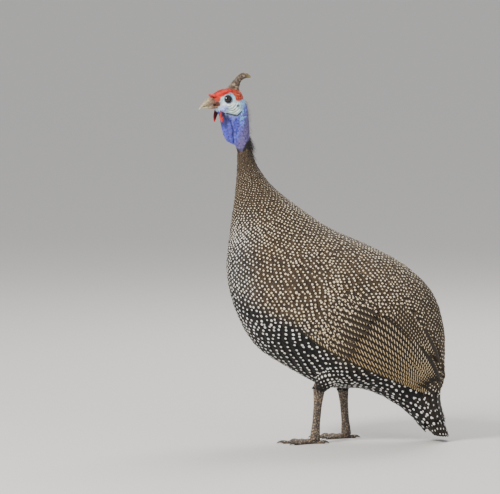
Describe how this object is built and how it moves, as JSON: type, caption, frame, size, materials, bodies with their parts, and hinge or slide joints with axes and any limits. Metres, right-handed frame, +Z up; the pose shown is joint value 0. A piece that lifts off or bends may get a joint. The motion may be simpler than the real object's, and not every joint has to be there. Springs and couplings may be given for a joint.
{
  "type": "guinea fowl",
  "caption": "Life-size still model of a helmeted guinea fowl standing alert with its head turned, spotted plumage, bony helmet and drooping tail",
  "frame": {"origin": "On the floor, at the centre of the bounding box seen from above", "axes": "+Z up, the bird's body faces -Y, its left side is +X"},
  "size_m": [0.1676, 0.3594, 0.5308],
  "materials": {
    "plumage": "matte, spotted feathers",
    "flight": "matte vanes",
    "blue_skin": "matte skin",
    "face": "soft wrinkled skin",
    "wattle": "satin skin",
    "horn": "satin horn",
    "eye": "wet gloss",
    "scale": "scaled, matte",
    "claw": "satin horn"
  },
  "bodies": {
    "root": {"head": "face", "helmet": "horn", "bill_upper": "horn", "bill_lower": "horn", "eye_left": "eye", "wattle_left": "wattle", "wing_left": "flight", "eye_right": "eye", "wattle_right": "wattle", "wing_right": "flight", "neck_bare": "blue_skin", "neck_feathered": "plumage", "torso": "plumage", "tail": "flight", "thigh_left": "plumage", "shank_left": "scale", "foot_left": "scale", "claw_middle_left": "claw", "claw_inner_left": "claw", "claw_outer_left": "claw", "claw_hind_left": "claw", "thigh_right": "plumage", "shank_right": "scale", "foot_right": "scale", "claw_middle_right": "claw", "claw_inner_right": "claw", "claw_outer_right": "claw", "claw_hind_right": "claw"}
  },
  "joints": []
}
